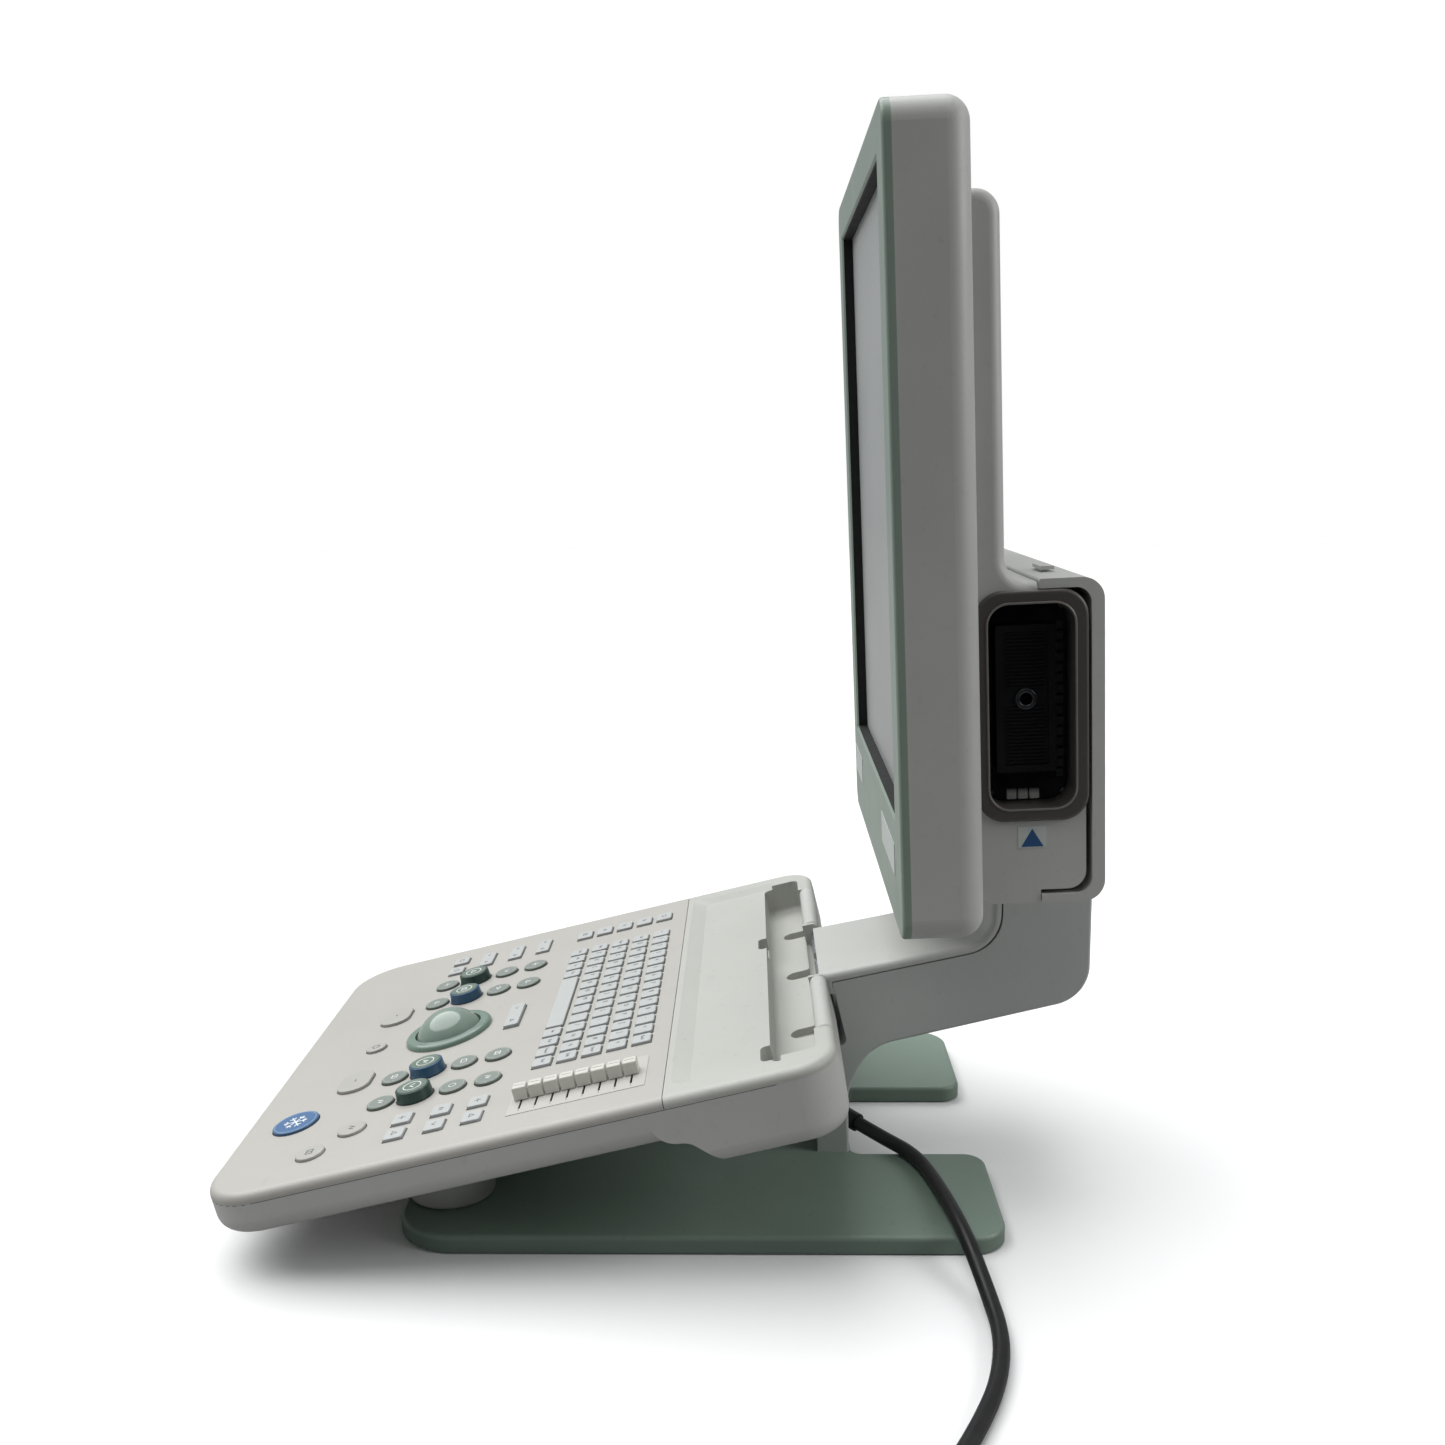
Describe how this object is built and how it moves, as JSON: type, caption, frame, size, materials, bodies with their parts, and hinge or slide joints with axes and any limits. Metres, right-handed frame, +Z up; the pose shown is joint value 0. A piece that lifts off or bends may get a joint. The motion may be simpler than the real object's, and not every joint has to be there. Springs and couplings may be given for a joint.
{
  "type": "tabletop ultrasound machine",
  "caption": "Tabletop ultrasound machine: upright monitor with a probe socket in its side, on an arm and foot plate, with a fold-up control keyboard.",
  "frame": {"origin": "floor level, in the middle of the machine without its lead", "axes": "+Z up, +Y to the machine's rear (the screen faces -Y), +X to the side with the probe socket"},
  "size_m": [0.7074, 0.5824, 0.6738],
  "materials": {
    "housing_white": "fine texture, warm white",
    "arm_grey": "fine texture, light grey",
    "base_green": "fine texture, grey green",
    "bezel_sage": "fine texture, sage",
    "screen_grey": "anti-glare film",
    "gasket_black": "satin black",
    "panel_white": "satin, warm white",
    "key_light": "satin silicone",
    "key_white": "satin",
    "button_sage": "satin",
    "freeze_blue": "satin",
    "knob_blue": "satin",
    "knob_green": "satin",
    "ball_sage": "polished",
    "slider_grey": "satin",
    "scale_plate": "satin film",
    "socket_taupe": "satin",
    "connector_black": "moulded",
    "label_plate": "satin",
    "board_green": "solder mask",
    "part_black": "moulded",
    "battery_grey": "moulded",
    "aluminium": "cast",
    "steel": "turned",
    "pad_rubber": "matte",
    "cord_black": "satin jacket",
    "pin_brass": "polished"
  },
  "bodies": {
    "stand": {"base_plate": "base_green", "base_pads": "pad_rubber", "neck_frame": "aluminium", "arm_shell": "arm_grey", "arm_top_cover": "housing_white", "hinge_pins": "steel", "stand_screws": "steel", "tilt_bracket": "steel", "tilt_pin": "steel", "cord_gland": "part_black", "cord_tube": "cord_black", "cord_coil": "cord_black", "plug_body": "cord_black", "plug_pins": "pin_brass"},
    "monitor": {"front_bezel": "bezel_sage", "trim_plates": "label_plate", "screen_gasket": "gasket_black", "lcd_panel": "screen_grey", "rear_shell": "housing_white", "rear_housing": "housing_white", "rear_cover": "housing_white", "cover_latches": "housing_white", "socket_bezel": "socket_taupe", "socket_board": "board_green", "probe_connector": "connector_black", "socket_parts": "key_white", "main_board": "board_green", "battery_pack": "battery_grey", "hinge_block": "aluminium", "housing_screws": "steel"},
    "keyboard": {"keyboard_bottom": "housing_white", "key_panel": "panel_white", "tray_cover": "panel_white", "rim_blocks": "housing_white", "keyboard_feet": "base_green", "keyboard_board": "board_green", "encoders": "part_black", "trackball_ring": "ball_sage", "trackball_seat": "part_black", "tgc_plate": "scale_plate", "slider_bank": "part_black", "keyboard_screws": "steel"},
    "trackball": {"trackball": "ball_sage"},
    "knob_green_left": {"knob_green_left": "knob_green"},
    "knob_blue_left": {"knob_blue_left": "knob_blue"},
    "knob_blue_right": {"knob_blue_right": "knob_blue"},
    "knob_green_right": {"knob_green_right": "knob_green"},
    "freeze_button": {"freeze_button": "freeze_blue"},
    "round_buttons": {"round_buttons": "button_sage"},
    "light_keys": {"light_keys": "key_white"},
    "side_keys": {"side_keys": "key_light"},
    "typing_keys": {"typing_keys": "key_light"},
    "tgc_cap_1": {"tgc_cap_1": "slider_grey"},
    "tgc_cap_2": {"tgc_cap_2": "slider_grey"},
    "tgc_cap_3": {"tgc_cap_3": "slider_grey"},
    "tgc_cap_4": {"tgc_cap_4": "slider_grey"},
    "tgc_cap_5": {"tgc_cap_5": "slider_grey"},
    "tgc_cap_6": {"tgc_cap_6": "slider_grey"},
    "tgc_cap_7": {"tgc_cap_7": "slider_grey"},
    "tgc_cap_8": {"tgc_cap_8": "slider_grey"}
  },
  "joints": [
    {"name": "monitor_tilt", "type": "hinge", "parent": "stand", "child": "monitor", "pos_m": [0, 0.235, 0.238], "axis": [-1, 0, 0], "range_deg": [-5, 15]},
    {"name": "keyboard_fold", "type": "hinge", "parent": "stand", "child": "keyboard", "pos_m": [0, 0.09927, 0.13307], "axis": [-1, 0, 0], "range_deg": [0, 78]},
    {"name": "trackball_roll", "type": "hinge", "parent": "keyboard", "child": "trackball", "pos_m": [0, -0.16493, 0.07055], "axis": [1, 0, 0], "continuous": true},
    {"name": "knob_green_left_turn", "type": "hinge", "parent": "keyboard", "child": "knob_green_left", "pos_m": [-0.1058, -0.16719, 0.07772], "axis": [0, -0.2357, 0.9718], "continuous": true},
    {"name": "knob_blue_left_turn", "type": "hinge", "parent": "keyboard", "child": "knob_blue_left", "pos_m": [-0.0674, -0.16719, 0.07772], "axis": [0, -0.2357, 0.9718], "continuous": true},
    {"name": "knob_blue_right_turn", "type": "hinge", "parent": "keyboard", "child": "knob_blue_right", "pos_m": [0.0674, -0.16719, 0.07772], "axis": [0, -0.2357, 0.9718], "continuous": true},
    {"name": "knob_green_right_turn", "type": "hinge", "parent": "keyboard", "child": "knob_green_right", "pos_m": [0.1058, -0.16719, 0.07772], "axis": [0, -0.2357, 0.9718], "continuous": true},
    {"name": "tgc_slide_1", "type": "slide", "parent": "keyboard", "child": "tgc_cap_1", "axis": [1, 0, 0], "range_m": [-0.013, 0.013]},
    {"name": "tgc_slide_2", "type": "slide", "parent": "keyboard", "child": "tgc_cap_2", "axis": [1, 0, 0], "range_m": [-0.013, 0.013]},
    {"name": "tgc_slide_3", "type": "slide", "parent": "keyboard", "child": "tgc_cap_3", "axis": [1, 0, 0], "range_m": [-0.013, 0.013]},
    {"name": "tgc_slide_4", "type": "slide", "parent": "keyboard", "child": "tgc_cap_4", "axis": [1, 0, 0], "range_m": [-0.013, 0.013]},
    {"name": "tgc_slide_5", "type": "slide", "parent": "keyboard", "child": "tgc_cap_5", "axis": [1, 0, 0], "range_m": [-0.013, 0.013]},
    {"name": "tgc_slide_6", "type": "slide", "parent": "keyboard", "child": "tgc_cap_6", "axis": [1, 0, 0], "range_m": [-0.013, 0.013]},
    {"name": "tgc_slide_7", "type": "slide", "parent": "keyboard", "child": "tgc_cap_7", "axis": [1, 0, 0], "range_m": [-0.013, 0.013]},
    {"name": "tgc_slide_8", "type": "slide", "parent": "keyboard", "child": "tgc_cap_8", "axis": [1, 0, 0], "range_m": [-0.013, 0.013]},
    {"name": "freeze_button_press", "type": "slide", "parent": "keyboard", "child": "freeze_button", "axis": [0, 0.2357, -0.9718], "range_m": [0, 0.001], "stiffness_N_per_m": 1000, "springref_m": -0.0008},
    {"name": "round_buttons_press", "type": "slide", "parent": "keyboard", "child": "round_buttons", "axis": [0, 0.2357, -0.9718], "range_m": [0, 0.001], "stiffness_N_per_m": 6000, "springref_m": -0.0008},
    {"name": "light_keys_press", "type": "slide", "parent": "keyboard", "child": "light_keys", "axis": [0, 0.2357, -0.9718], "range_m": [0, 0.001], "stiffness_N_per_m": 3000, "springref_m": -0.0008},
    {"name": "side_keys_press", "type": "slide", "parent": "keyboard", "child": "side_keys", "axis": [0, 0.2357, -0.9718], "range_m": [0, 0.001], "stiffness_N_per_m": 8000, "springref_m": -0.0008},
    {"name": "typing_keys_press", "type": "slide", "parent": "keyboard", "child": "typing_keys", "axis": [0, 0.2357, -0.9718], "range_m": [0, 0.001], "stiffness_N_per_m": 20000, "springref_m": -0.0008}
  ]
}
